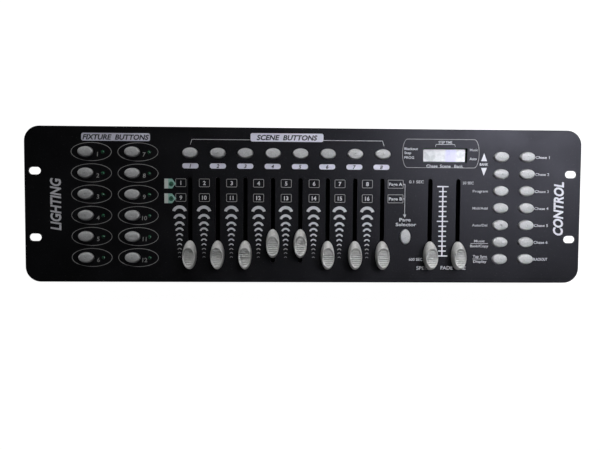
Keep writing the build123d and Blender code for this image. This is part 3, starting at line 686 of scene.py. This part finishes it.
# Title plates over the scanner buttons and the scene buttons.
TITLE_RADIUS = 1.7
scanner_x = (node_centre("scanner_button_1").x + node_centre("scanner_button_7").x) / 2
scene_x = [node_centre(name).x for name in SCENE_BUTTONS]
scene_middle = (scene_x[0] + scene_x[-1]) / 2
scene_y = node_centre("scene_button_1").y
TITLE_HEIGHT = 4.4
TITLE_FACE = {"slant": 0.22, "bold": 0.045, "level": PRINT_DEPTH}
SCANNER_TITLE = (58.5, 6.7)
SCANNER_TITLE_SHIFT = (6.0, 12.65)
SCENE_TITLE = (63.0, 7.2)
SCENE_TITLE_SHIFT = 0.1
SCENE_TITLE_RISE = 13.8
scanner_title_x = scanner_x + SCANNER_TITLE_SHIFT[0]
scanner_title_y = node_centre("scanner_button_1").y + SCANNER_TITLE_SHIFT[1]
scene_title_y = scene_y + SCENE_TITLE_RISE
for x, y, (width, depth), words, share in (
    (scanner_title_x, scanner_title_y, SCANNER_TITLE, "FIXTURE  BUTTONS", 0.965),
    (scene_middle + SCENE_TITLE_SHIFT, scene_title_y, SCENE_TITLE, "SCENE  BUTTONS", 0.833),
):
    add_print(lilac, rounded(x, y, width, depth, TITLE_RADIUS))
    add_words(dark, words, x, y, TITLE_HEIGHT, width=width * share, **TITLE_FACE)

# The scene buttons' bracket, and a number plate under each button.
BRACKET_DROP = 2.2  # the line's height, below the middle of the title
BRACKET_SLANT = (1.4, 4.4)
BRACKET_INSET = 1.0  # the corner's place, in from the last button's middle
BRACKET_SHIFT = (-0.5, 0.6)  # of the line's inner end and of its corner
PLATE_SIZE = (13.9, 4.5)
PLATE_CORNER = 2.1
PLATE_DROP = 11.1
PLATE_SHIFT = -0.4
PLATE_SPREAD = 0.992  # the plates' spacing, as a share of the buttons'
PLATE_NUMBER_HEIGHT = 3.2
for side in (-1, 1):
    line_y = scene_title_y - BRACKET_DROP
    reach = (scene_x[-1] - scene_x[0]) / 2 - BRACKET_INSET
    corner_x = scene_middle + side * reach + BRACKET_SHIFT[1]
    start = (scene_middle + side * SCENE_TITLE[0] / 2 + BRACKET_SHIFT[0], line_y)
    end = (corner_x + side * BRACKET_SLANT[0], line_y - BRACKET_SLANT[1])
    add_line(pale, [start, (corner_x, line_y), end], THIN_LINE)
for number, x in enumerate(scene_x, 1):
    plate_x = scene_middle + PLATE_SHIFT + (x - scene_middle) * PLATE_SPREAD
    add_print(lilac, rounded(plate_x, scene_y - PLATE_DROP, *PLATE_SIZE, PLATE_CORNER))
    add_words(dark, str(number), plate_x, scene_y - PLATE_DROP, PLATE_NUMBER_HEIGHT, **TITLE_FACE)

# Channel numbers in two rows of boxes, and the level marks that fade towards the bottom.
channel_x = [node_centre(name).x for name in CHANNEL_FADERS]
PRINT_DROP = 56.5
print_middle = scene_y - PRINT_DROP  # the printing between the faders is set out from here
BOX_SIZE = (8.85, 6.75)
BOX_CORNER = 0.8
BOX_ROWS = (30.8, 18.1)
CHANNELS_PER_PAGE = len(CHANNEL_FADERS)
FIRST_MARK = 12.6
MARK_SHRINK = 0.84
MARK_CUT = 15.0  # the marks are cut off at this angle above the level, in degrees
MARK_HEIGHTS = [8.6, 1.8, -4.4, -9.3, -14.0, -18.3, -22.4, -26.3, -29.7, -33.3]
MARK_WIDTHS = [FIRST_MARK * MARK_SHRINK**i for i in range(len(MARK_HEIGHTS))]
MARK_OUTER = (0.515, 0.49)  # the mark's outer and inner curves, as shares of its width
MARK_INNER = (0.315, 0.28)
MARK_STEPS = (16, 12)
PALE_FROM = 4.2  # wider marks are pale, narrower ones are grey, and the narrowest are faint
GREY_FROM = 3.5
MARK_SHIFTS = [-9.15, -11.95, -12.1, -12.4, -12.6, -12.2, -13.4, -13.05]
BOX_SHIFTS = [1.2, 0.4, 0.3, 0.0, 0.3, 0.3, 0.2, -0.05]
for i, x in enumerate(channel_x):
    column = x + MARK_SHIFTS[i]
    box_x = column + BOX_SHIFTS[i]
    for row, height in enumerate(BOX_ROWS):
        add_line(grey, rounded(box_x, print_middle + height, *BOX_SIZE, BOX_CORNER, 3), THIN_LINE, True)
        channel = i + 1 + CHANNELS_PER_PAGE * row
        add_words(pale, str(channel), box_x, print_middle + height, NUMBER_HEIGHT, bold=0.04)
    for width, height in zip(MARK_WIDTHS, MARK_HEIGHTS):
        # A rainbow shape, thick in its middle and thinner at its ends.
        ink = pale if width > PALE_FROM else grey if width > GREY_FROM else faint
        foot = print_middle + height - MARK_INNER[1] * width
        outer_half = [width * share for share in MARK_OUTER]
        inner_half = [width * share for share in MARK_INNER]
        outer = arc(column, foot, *outer_half, MARK_CUT, 180 - MARK_CUT, MARK_STEPS[0])
        inner = arc(column, foot, *inner_half, 180 - MARK_CUT, MARK_CUT, MARK_STEPS[1])
        add_print(ink, outer + inner)

# Page tags beside the first channel box, each with an indicator in it.
LED_RADIUS = 1.9
tag_x = node_box("indicator_leds")[1].x - LED_RADIUS
TAG_DROP = 0.8  # the tags' middles are below the boxes'
TAG_PLAIN = [(-5.9, 4.2), (-5.9, -4.2), (-2.6, -4.2), (-2.6, 4.2)]
TAG_TIP = [(-2.6, 4.2), (-2.6, -4.2), (0.8, -4.2), (3.0, -1.2)]
TAG_TIP += [(4.2, -0.3), (4.2, 0.3), (3.0, 1.2), (0.8, 4.2)]
BEZEL_RADIUS = 2.15
BEZEL_DROP = 0.3
BEZEL_DEPTH = 0.07
for height in BOX_ROWS:
    y = print_middle + height - TAG_DROP
    for ink, outline in ((tags, TAG_PLAIN), (mint, TAG_TIP)):
        add_print(ink, [Vector((tag_x + dx, y + dy)) for dx, dy in outline])
    bezel = arc(tag_x, y - BEZEL_DROP, BEZEL_RADIUS, BEZEL_RADIUS, 0, 355, 35)
    add_plate(teal, bezel, -PRINT_SUNK, BEZEL_DEPTH)

# Page selector: two boxes, the line down to the button, and its name.
page = node_centre(PAGE_BUTTON)
PAGE_LINE_SHIFT = -0.7
PAGE_BOX_SHIFT = 11.55
PAGE_BOX = (13.2, 7.0)
PAGE_BOX_CORNER = 0.3
PAGE_WORDS_HEIGHT = 2.7
PAGE_LINE_START = 6.8  # from the middle of the box
ARROW_RISE = 16.7
ARROW_HEAD = [(-1.35, 2.8), (0.0, 0.0), (1.35, 2.8)]
SHAFT_GAP = 1.0  # the shaft stops short of the arrow's point
page_line_x = page.x + PAGE_LINE_SHIFT
page_box_x = channel_x[-1] + PAGE_BOX_SHIFT
for height, words in zip(BOX_ROWS, ("Page A", "Page B")):
    y = print_middle + height
    add_line(grey, rounded(page_box_x, y, *PAGE_BOX, PAGE_BOX_CORNER, 2), THIN_LINE, True)
    add_words(pale, words, page_box_x, y, PAGE_WORDS_HEIGHT, bold=0.03, width=11.6)
    add_line(pale, [(page_box_x + PAGE_LINE_START, y), (page_line_x, y)], THIN_LINE)
arrow_top = print_middle + BOX_ROWS[0]
arrow_tip = page.y + ARROW_RISE
add_line(pale, [(page_line_x, arrow_top), (page_line_x, arrow_tip + SHAFT_GAP)], THIN_LINE)
add_print(pale, [Vector((page_line_x + dx, arrow_tip + dy)) for dx, dy in ARROW_HEAD])
for words, dx, dy, height, width in (("Page", -0.3, 15.05, 2.9, 10.0), ("Selector", 0.6, 10.9, 2.9, 18.0)):
    add_words(pale, words, page.x + dx, page.y + dy, height, bold=0.03, width=width)

# The display's frame, and the words round it.
display = node_centre("display_film")
FRAME_HALF = (29.3, 12.3)
FRAME_BULGE = 4.3
FRAME_SHIFT = (-3.8, 1.5)
STEP_TIME_BRACKET = [(-8.7, 7.4), (-8.2, 9.4), (8.2, 9.4), (8.7, 7.4)]
side = arc(0, 0, FRAME_BULGE, FRAME_HALF[1], -90, 90, 24)
frame_x = display.x + FRAME_SHIFT[0]
frame_y = display.y + FRAME_SHIFT[1]
outline = [Vector((frame_x + FRAME_HALF[0] + p.x, frame_y + p.y)) for p in side]
outline += [Vector((frame_x - FRAME_HALF[0] - p.x, frame_y - p.y)) for p in side]
add_line(grey, outline, THIN_LINE, True)
for words, dx, dy, height, width, align in (
    ("Blackout", -35.8, 5.5, 2.3, 11.8, "LEFT"),
    ("Step", -35.8, 2.0, 2.3, 6.0, "LEFT"),
    ("PROG", -35.8, -2.1, 2.4, 8.5, "LEFT"),
    ("Music", 21.5, 4.9, 2.3, 7.3, "LEFT"),
    ("Auto", 21.5, -2.8, 2.3, 6.2, "LEFT"),
    ("Chase", -11.5, -9.3, 2.5, 9.8, "CENTER"),
    ("Scene", 0.2, -9.3, 2.5, 9.4, "CENTER"),
    ("Bank", 12.0, -9.3, 2.5, 7.6, "CENTER"),
    ("STEP TIME", 0.0, 11.3, 2.2, 11.9, "CENTER"),
):
    add_words(pale, words, display.x + dx, display.y + dy, height, bold=0.02, width=width, align=align)
add_line(pale, [(display.x + dx, display.y + dy) for dx, dy in STEP_TIME_BRACKET], FINE_LINE)

# Bank triangles: each points away from the word between them.
BANK_SHIFT = (-15.1, 1.0)
TRIANGLE_HALF = 2.6
bank_x = node_centre("bank_up_button").x + BANK_SHIFT[0]
for name, base, tip in (("bank_up_button", -3.7, 3.3), ("bank_down_button", 5.4, -1.4)):
    y = node_centre(name).y
    head = [Vector((bank_x - TRIANGLE_HALF, y + base)), Vector((bank_x + TRIANGLE_HALF, y + base))]
    head.append(Vector((bank_x, y + tip)))
    add_print(white, head if tip > base else head[::-1])
bank_y = (node_centre("bank_up_button").y + node_centre("bank_down_button").y) / 2
add_words(pale, "BANK", bank_x, bank_y + BANK_SHIFT[1], LABEL_HEIGHT, bold=0.03, width=7.5)

# Names beside the right-hand buttons.
LABEL_SHIFT = -17.9
UPPER_RISE = 2.3  # the upper and lower words, from the line between them
LOWER_DROP = 2.1
CHASE_SHIFT = 7.4
CHASE_HEIGHT = 2.4
label_x = node_centre("program_button").x + LABEL_SHIFT
for name, words in (("program_button", "Program"), ("midi_button", "Midi/Add"), ("auto_button", "Auto/Del")):
    add_words(pale, words, label_x, node_centre(name).y, LABEL_HEIGHT, bold=0.01, width=13.4)
for name, dx, dy, upper, upper_width, line_width, lower, lower_width in (
    ("music_button", 0.0, -1.3, "Music", 9.2, 15.4, "Bank/Copy", 16.0),
    ("tap_button", 0.8, 0.0, "Tap Sync", 12.6, 13.2, "Display", 11.8),
):
    x = label_x + dx
    y = node_centre(name).y + dy
    add_words(pale, upper, x, y + UPPER_RISE, LABEL_HEIGHT, bold=0.02, width=upper_width)
    add_line(pale, [(x - line_width / 2, y), (x + line_width / 2, y)], THIN_LINE)
    add_words(pale, lower, x, y - LOWER_DROP, LABEL_HEIGHT, bold=0.02, width=lower_width)
for number, name in enumerate(RIGHT_BUTTONS, 1):
    spot = node_centre(name)
    words = "BLACKOUT" if name == "blackout_button" else f"Chase {number}"
    add_words(pale, words, spot.x + CHASE_SHIFT, spot.y, CHASE_HEIGHT, bold=0.02, width=12.5, align="LEFT")

# The ruler between the two master faders, their names and the ends of their ranges.
speed_x, fade_x = [node_centre(name).x for name in MASTER_FADERS]
RULER_SHIFT = -1.2
ruler_x = (speed_x + fade_x) / 2 + RULER_SHIFT
RULER_TOP = 29.0
RULER_PITCH = 4.34
RULER_MARKS = 15
LONG_MARKS = (0, 7, 14)
LONG_MARK, SHORT_MARK = 9.8, 6.8
MARK_LINE = 1.0
STEM_LINE = 1.15
RULER_CORNER = 0.1
STEM_LIFT = 0.001  # keeps the stem's faces apart from the marks'
for i in range(RULER_MARKS):
    y = print_middle + RULER_TOP - i * RULER_PITCH
    length = LONG_MARK if i in LONG_MARKS else SHORT_MARK
    add_print(white, rounded(ruler_x, y, length, MARK_LINE, RULER_CORNER, 1))
stem_length = (RULER_MARKS - 1) * RULER_PITCH
stem_y = print_middle + RULER_TOP - stem_length / 2
add_print(white, rounded(ruler_x, stem_y, STEM_LINE, stem_length, RULER_CORNER, 1), STEM_LIFT)
for words, x, dy, height, width in (
    ("0.1 SEC", speed_x - 12.2, 33.0, 2.5, 12.8),
    ("30 SEC", fade_x + 8.7, 32.3, 2.5, 9.6),
    ("600 SEC", speed_x - 12.0, -34.8, 2.5, 12.0),
    ("SPEED", speed_x - 4.7, -42.3, 3.2, 13.0),
    ("FADE TIME", fade_x - 3.4, -42.1, 3.2, 22.0),
):
    add_words(pale, words, x, print_middle + dy, height, bold=0.015, width=width)

# Plain words at either end, reading upwards.
for words, x, y, height, bold, width in (
    ("LIGHTING", PANEL_LOW.x + 26.1, 0.0, 9.1, 0.04, 45.0),
    ("CONTROL", PANEL_HIGH.x - 19.4, -1.5, 8.6, 0.045, 47.0),
):
    add_words(white, words, x, y, height, slant=0.2, bold=bold, width=width, turn=90)

piece("printing_white", white, WHITE_INK)
piece("printing_lilac", lilac, LILAC_INK)
piece("printing_grey", grey, GREY_INK)
piece("printing_faint", faint, FAINT_INK)
piece("printing_pale", pale, PALE_INK)
piece("printing_dark", dark, DARK_INK)
piece("printing_tags", tags, TAG_INK)
piece("printing_mint", mint, MINT_INK)
piece("printing_teal", teal, TEAL_INK)

# ---- Rear sockets --------------------------------------------------------------------------------


def facing_rear(out):
    """Axes as seen from behind: x across, y up, and z out of the wall, from a place this far out."""
    return Matrix(((-1, 0, 0, 0), (0, 0, 1, out), (0, 1, 0, 0), (0, 0, 0, 1)))


def rear_spot(x, z, out=0.0):
    """A place on the rear wall, with its own z axis pointing out of the wall."""
    return Matrix.Translation((x, 0, z)) @ facing_rear(WALL) @ Matrix.Translation((0, 0, out))


def mount_place(name):
    """The place of a mount from the record, in millimetres."""
    found = [m for m in frame["record"]["mounts"] if m["name"] == name]
    return Vector(found[0]["pos_m"]) / MM


output_place = mount_place("dmx_output")
input_place = mount_place("dmx_input")
midi_place = mount_place("midi_input")
audio_place = mount_place("audio_input")
power_place = mount_place("power_input")
CONTACT_RADIUS = 4.5
CONTACT_TURNS = (0.0, math.pi, -math.pi / 2)
MIDI_CONTACT_RADIUS = 3.75
MIDI_CONTACTS = 5  # over half a turn
FLANGE = 1.8
MIDI_FLANGE = 0.3
BARREL_GAP = 0.05
COLLAR_GAP = 0.02
MIDI_SEGMENTS = 20

# Turned profiles, each as (radius, height out of the wall or the flange).
PIN = [(0, -10.2), (1.22, -10.2), (1.22, -2.2), (1.05, -1.5), (0.6, -1.05), (0, -0.95)]
SLEEVE = [(0, -9.0), (1.38, -9.0), (1.38, -1.0), (1.05, -1.0), (1.05, -8.0), (0, -8.0)]
MIDI_SLEEVE = [(0, -7.0), (0.84, -7.0), (0.84, -0.2), (0.55, -0.2), (0.55, -6.0), (0, -6.0)]
JACK_PIN = [(0, -9.0), (1.04, -9.0), (1.04, -1.2), (0.8, -0.6), (0, -0.45)]
MIDI_SHELL = [(6.85, -7.0), (6.85, 0.15), (6.35, 0.15), (6.35, -7.0), (6.85, -7.0)]
BARREL = [(4.16, 0.0), (4.16, 8.1), (4.0, 8.4), (1.68, 8.4), (1.68, 1.0), (1.9, 0.6), (4.16, 0.0)]
TRIM = [(9.75, 0.0), (9.75, 0.35), (10.05, 0.5), (11.1, 0.5), (11.35, 0.35), (11.35, 0.0), (9.75, 0.0)]
COLLAR = [(4.2, 0.0), (4.2, 1.3), (4.85, 1.3), (5.3, 1.0), (5.3, 0.0), (4.2, 0.0)]

contacts = bmesh.new()
for turn in CONTACT_TURNS:
    dx, dz = CONTACT_RADIUS * math.cos(turn), CONTACT_RADIUS * math.sin(turn)
    for profile, place in ((PIN, input_place), (SLEEVE, output_place)):
        add_turned(contacts, profile, rear_spot(place.x + dx, place.z + dz, FLANGE), SMALL_SEGMENTS)
for i in range(MIDI_CONTACTS):
    turn = math.pi * i / (MIDI_CONTACTS - 1)
    dx, dz = MIDI_CONTACT_RADIUS * math.cos(turn), MIDI_CONTACT_RADIUS * math.sin(turn)
    place = rear_spot(midi_place.x + dx, midi_place.z + dz, MIDI_FLANGE)
    add_turned(contacts, MIDI_SLEEVE, place, MIDI_SEGMENTS)
add_turned(contacts, JACK_PIN, rear_spot(power_place.x, power_place.z), SMALL_SEGMENTS)
piece("socket_contacts", contacts, GOLD_CONTACT)

shields = bmesh.new()
add_turned(shields, MIDI_SHELL, rear_spot(midi_place.x, midi_place.z, MIDI_FLANGE))
add_turned(shields, BARREL, rear_spot(audio_place.x, audio_place.z, BARREL_GAP))
for place in (output_place, input_place):
    add_turned(shields, TRIM, rear_spot(place.x, place.z, FLANGE))
piece("socket_shields", shields, STEEL)

collar = bmesh.new()
add_turned(collar, COLLAR, rear_spot(audio_place.x, audio_place.z, COLLAR_GAP))
piece("phono_collar", collar, RED_PLASTIC)

# The output's latch: a tab above the socket, with three grip ribs.
LATCH = (7.0, 3.4, 0.8)  # across, up, and its corners' radius
LATCH_LIFT = 12.6
LATCH_THICKNESS = 1.1
GRIP = (5.2, 0.4, 0.15)
GRIP_LEVELS = (1.0, 1.35)
GRIP_LIFTS = (11.7, 12.6, 13.5)
latch = bmesh.new()
latch_place = rear_spot(output_place.x, output_place.z + LATCH_LIFT, FLANGE)
add_plate(latch, rounded(0, 0, *LATCH), 0.0, LATCH_THICKNESS, latch_place)
for lift in GRIP_LIFTS:
    grip_place = rear_spot(output_place.x, output_place.z + lift, FLANGE)
    add_plate(latch, rounded(0, 0, *GRIP), *GRIP_LEVELS, grip_place)
piece("socket_latch", latch, BLACK_PLASTIC)

rear_print = bmesh.new()
switch_place = node_centre("power_switch_housing")
for words, place, dz, height in (
    ("OUT", output_place, -18.2, 2.8),
    ("IN", input_place, -18.2, 2.8),
    ("MIDI IN", midi_place, 12.5, 2.6),
    ("AUDIO IN", audio_place, 9.6, 2.6),
    ("DC IN", power_place, 9.6, 2.6),
    ("POWER", switch_place, 12.0, 2.6),
):
    add_words(rear_print, words, 0, 0, height, bold=0.02, place=rear_spot(place.x, place.z + dz))
piece("printing_rear", rear_print, WHITE_INK)

# ---- Marks on the rocker -------------------------------------------------------------------------

rocker_joint = [j for j in frame["joints"] if j["child"] == "power_rocker"][0]
pivot = Vector(rocker_joint["pos_m"]) / MM
ROCKER_TILT = math.radians(rocker_joint["range_deg"][1] / 2)
PIVOT_DEPTH = 7.5
MARK_REACH = 4.4
OFF_RADIUS = 1.5
ON_HALF = 1.6
OFF_LINE, ON_LINE = 0.45, 0.5
rocker_print = bmesh.new()
for end in (-1, 1):
    # Each half of the rocker is flush when that half is pressed, so its face is square to the wall there.
    lean = Matrix.Rotation(-ROCKER_TILT + end * ROCKER_TILT, 4, "Z")
    face = Matrix.Translation(pivot) @ lean @ facing_rear(PIVOT_DEPTH)
    if end > 0:
        circle = ellipse(-MARK_REACH, 0, OFF_RADIUS, OFF_RADIUS, 0, 36)
        add_line(rocker_print, circle, OFF_LINE, True, face)
    else:
        add_line(rocker_print, [(MARK_REACH, -ON_HALF), (MARK_REACH, ON_HALF)], ON_LINE, False, face)
piece("rocker_marks", rocker_print, WHITE_INK, "power_rocker")

# ---- Stage, light and camera ---------------------------------------------------------------------

FLOOR_HALF = 4.0
FLOOR_GLOW = 0.99  # the floor is a plain light backdrop
AMBIENT = 0.04  # the world's light on the object
BACKDROP = 0.95  # the world as the camera sees it
WHITE = (1.0, 1.0, 1.0)
floor_mesh = bpy.data.meshes.new("floor")
floor_corners = [(sx * FLOOR_HALF, sy * FLOOR_HALF, 0) for sx, sy in ((-1, -1), (1, -1), (1, 1), (-1, 1))]
floor_mesh.from_pydata(floor_corners, [], [(0, 1, 2, 3)])
floor = bpy.data.objects.new("floor", floor_mesh)
bpy.context.scene.collection.objects.link(floor)
f = Finish("floor_paint")
f.colour(f.mix(f.noise(400.0), (0.20, 0.20, 0.20), (0.22, 0.22, 0.22)))
f.set(Roughness=0.9, Specular_IOR_Level=0.0, Emission_Color=(*WHITE, 1.0), Emission_Strength=FLOOR_GLOW)
floor_mesh.materials.append(f.material)

world = bpy.data.worlds.new("studio")
world.use_nodes = True
background = world.node_tree.nodes["Background"]
background.inputs["Color"].default_value = (*WHITE, 1.0)
seen = world.node_tree.nodes.new("ShaderNodeLightPath")
level = world.node_tree.nodes.new("ShaderNodeMapRange")
level.inputs["To Min"].default_value = AMBIENT
level.inputs["To Max"].default_value = BACKDROP
world.node_tree.links.new(seen.outputs["Is Camera Ray"], level.inputs["Value"])
world.node_tree.links.new(level.outputs["Result"], background.inputs["Strength"])
bpy.context.scene.world = world


def soft_light(name, place, aim, size, power, colour, shines=True, lights=True, spread=180.0):
    """A square soft light. It can shine only, as a reflection in surfaces, or light them without shining."""
    lamp = bpy.data.lights.new(name, "AREA")
    lamp.size = size
    lamp.spread = math.radians(spread)
    lamp.energy = power
    lamp.color = colour
    made = bpy.data.objects.new(name, lamp)
    made.location = place
    made.rotation_mode = "QUATERNION"
    made.rotation_quaternion = (Vector(aim) - Vector(place)).to_track_quat("-Z", "Y")
    made.visible_glossy = shines
    made.visible_diffuse = lights
    bpy.context.scene.collection.objects.link(made)


# A cool sheen over the right-hand end. It is a reflection only.
soft_light("shine", (0.36, 0.15, 0.50), (0.22, 0.02, 0.06), size=0.30, power=3.9,
           colour=(0.88, 0.88, 1.0), lights=False)
# The right-hand end is the brighter one.
soft_light("key", (0.19, 0.50, 0.90), (0.21, 0.0, 0.06), size=0.30, power=0.58,
           colour=(0.94, 0.955, 1.0), shines=False, spread=42.0)
# A weak light over the whole panel, and one low down behind it that leaves the near sides dark.
soft_light("fill", (-0.5, -0.5, 1.3), (0.0, 0.0, 0.06), size=0.9, power=0.45,
           colour=(0.95, 0.97, 1.0), shines=False)
soft_light("back", (0.0, 0.95, 0.44), (0.0, 0.0, 0.04), size=0.4, power=6.0, colour=WHITE, shines=False)

# The camera looks almost straight down at the panel, a little from the left, with a small tilt.
CAMERA_HEIGHT = 0.520  # above the panel
CAMERA_PLACE = (-0.020, 0.0068)
CAMERA_TILT = (0.0455, 0.0287, -0.0050)
FOCAL_LENGTH = 35.93
SENSOR_WIDTH = 36.0

camera = bpy.data.objects.new("camera", bpy.data.cameras.new("camera"))
camera.data.sensor_width = SENSOR_WIDTH
camera.data.lens = FOCAL_LENGTH
bpy.context.scene.collection.objects.link(camera)
tilt_x, tilt_y, tilt_z = [Matrix.Rotation(a, 4, axis) for a, axis in zip(CAMERA_TILT, "XYZ")]
stand = Matrix.Translation((*CAMERA_PLACE, PANEL_TOP * MM + CAMERA_HEIGHT))
camera.matrix_world = stand @ (tilt_z @ tilt_y @ tilt_x).transposed()
bpy.context.scene.camera = camera
bpy.context.scene.view_settings.view_transform = "Standard"
